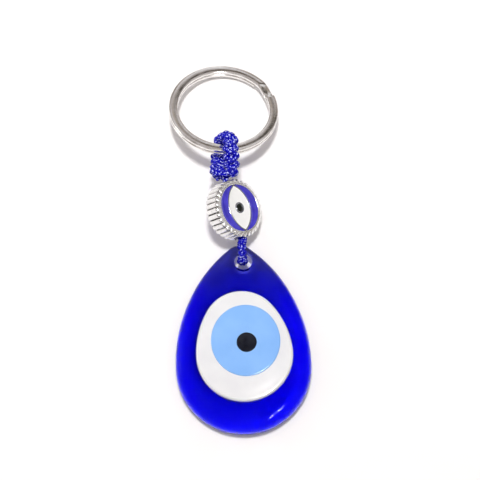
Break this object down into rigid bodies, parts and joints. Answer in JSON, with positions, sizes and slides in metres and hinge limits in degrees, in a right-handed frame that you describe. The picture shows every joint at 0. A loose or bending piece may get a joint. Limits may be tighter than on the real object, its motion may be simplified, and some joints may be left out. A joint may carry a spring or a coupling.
{
  "type": "evil eye key charm",
  "caption": "Glass teardrop with an inlaid eye on a knotted cord, with a ribbed enamel eye bead and a split key ring.",
  "frame": {"origin": "on the drop's flat back, under the centre of its round lower end", "axes": "+Y along the chain from the drop to the split ring, +Z out of the drop's front face"},
  "size_m": [0.0355, 0.1037, 0.0141],
  "materials": {
    "blue_glass": "transparent cobalt glass, fire polished",
    "white_glass": "opaque white glass, fire polished",
    "light_blue_glass": "opaque light blue glass, fire polished",
    "black_glass": "opaque black glass, fire polished",
    "bead_metal": "silver-plated zinc casting, polished",
    "enamel_blue": "gloss enamel, poured into a metal field",
    "enamel_white": "gloss enamel, poured into a metal field",
    "enamel_black": "gloss enamel, poured into a metal field",
    "ring_steel": "nickel-plated spring steel, polished flat wire",
    "nylon_cord": "satin nylon cord, square knots"
  },
  "bodies": {
    "drop": {"drop_body": "blue_glass", "white_layer": "white_glass", "iris_layer": "light_blue_glass", "pupil_layer": "black_glass"},
    "strand": {"hole_loop": "nylon_cord"},
    "cord": {"core_cord": "nylon_cord", "neck_wrap": "nylon_cord", "cord_leg_left": "nylon_cord", "cord_leg_right": "nylon_cord"},
    "bead": {"bead_body": "bead_metal", "bead_front_blue_left": "enamel_blue", "bead_front_blue_right": "enamel_blue", "bead_front_white": "enamel_white", "bead_front_pupil": "enamel_black", "bead_back_blue_left": "enamel_blue", "bead_back_blue_right": "enamel_blue", "bead_back_white": "enamel_white", "bead_back_pupil": "enamel_black"},
    "loop": {"cord_bight": "nylon_cord"},
    "ring": {"split_ring": "ring_steel"}
  },
  "joints": [
    {"name": "drop_swing", "type": "hinge", "parent": "drop", "child": "strand", "pos_m": [0.0009, 0.0278, 0.004], "axis": [0, 0, 1], "range_deg": [-25, 20]},
    {"name": "drop_fold", "type": "hinge", "parent": "strand", "child": "cord", "pos_m": [0.001, 0.03349, 0.00464], "axis": [1, 0, 0], "range_deg": [-18, 20]},
    {"name": "bead_spin", "type": "hinge", "parent": "cord", "child": "bead", "pos_m": [-0.00103, 0.0415, 0.00685], "axis": [-0.237, 0.9364, 0.2588], "continuous": true},
    {"name": "ring_swing", "type": "hinge", "parent": "cord", "child": "loop", "pos_m": [-0.00325, 0.0526, 0.00905], "axis": [1, 0, 0], "range_deg": [-50, 50]},
    {"name": "ring_spin", "type": "hinge", "parent": "loop", "child": "ring", "pos_m": [-0.00285, 0.07125, 0.00525], "axis": [0.0837, 0.2588, 0.9623], "continuous": true}
  ]
}
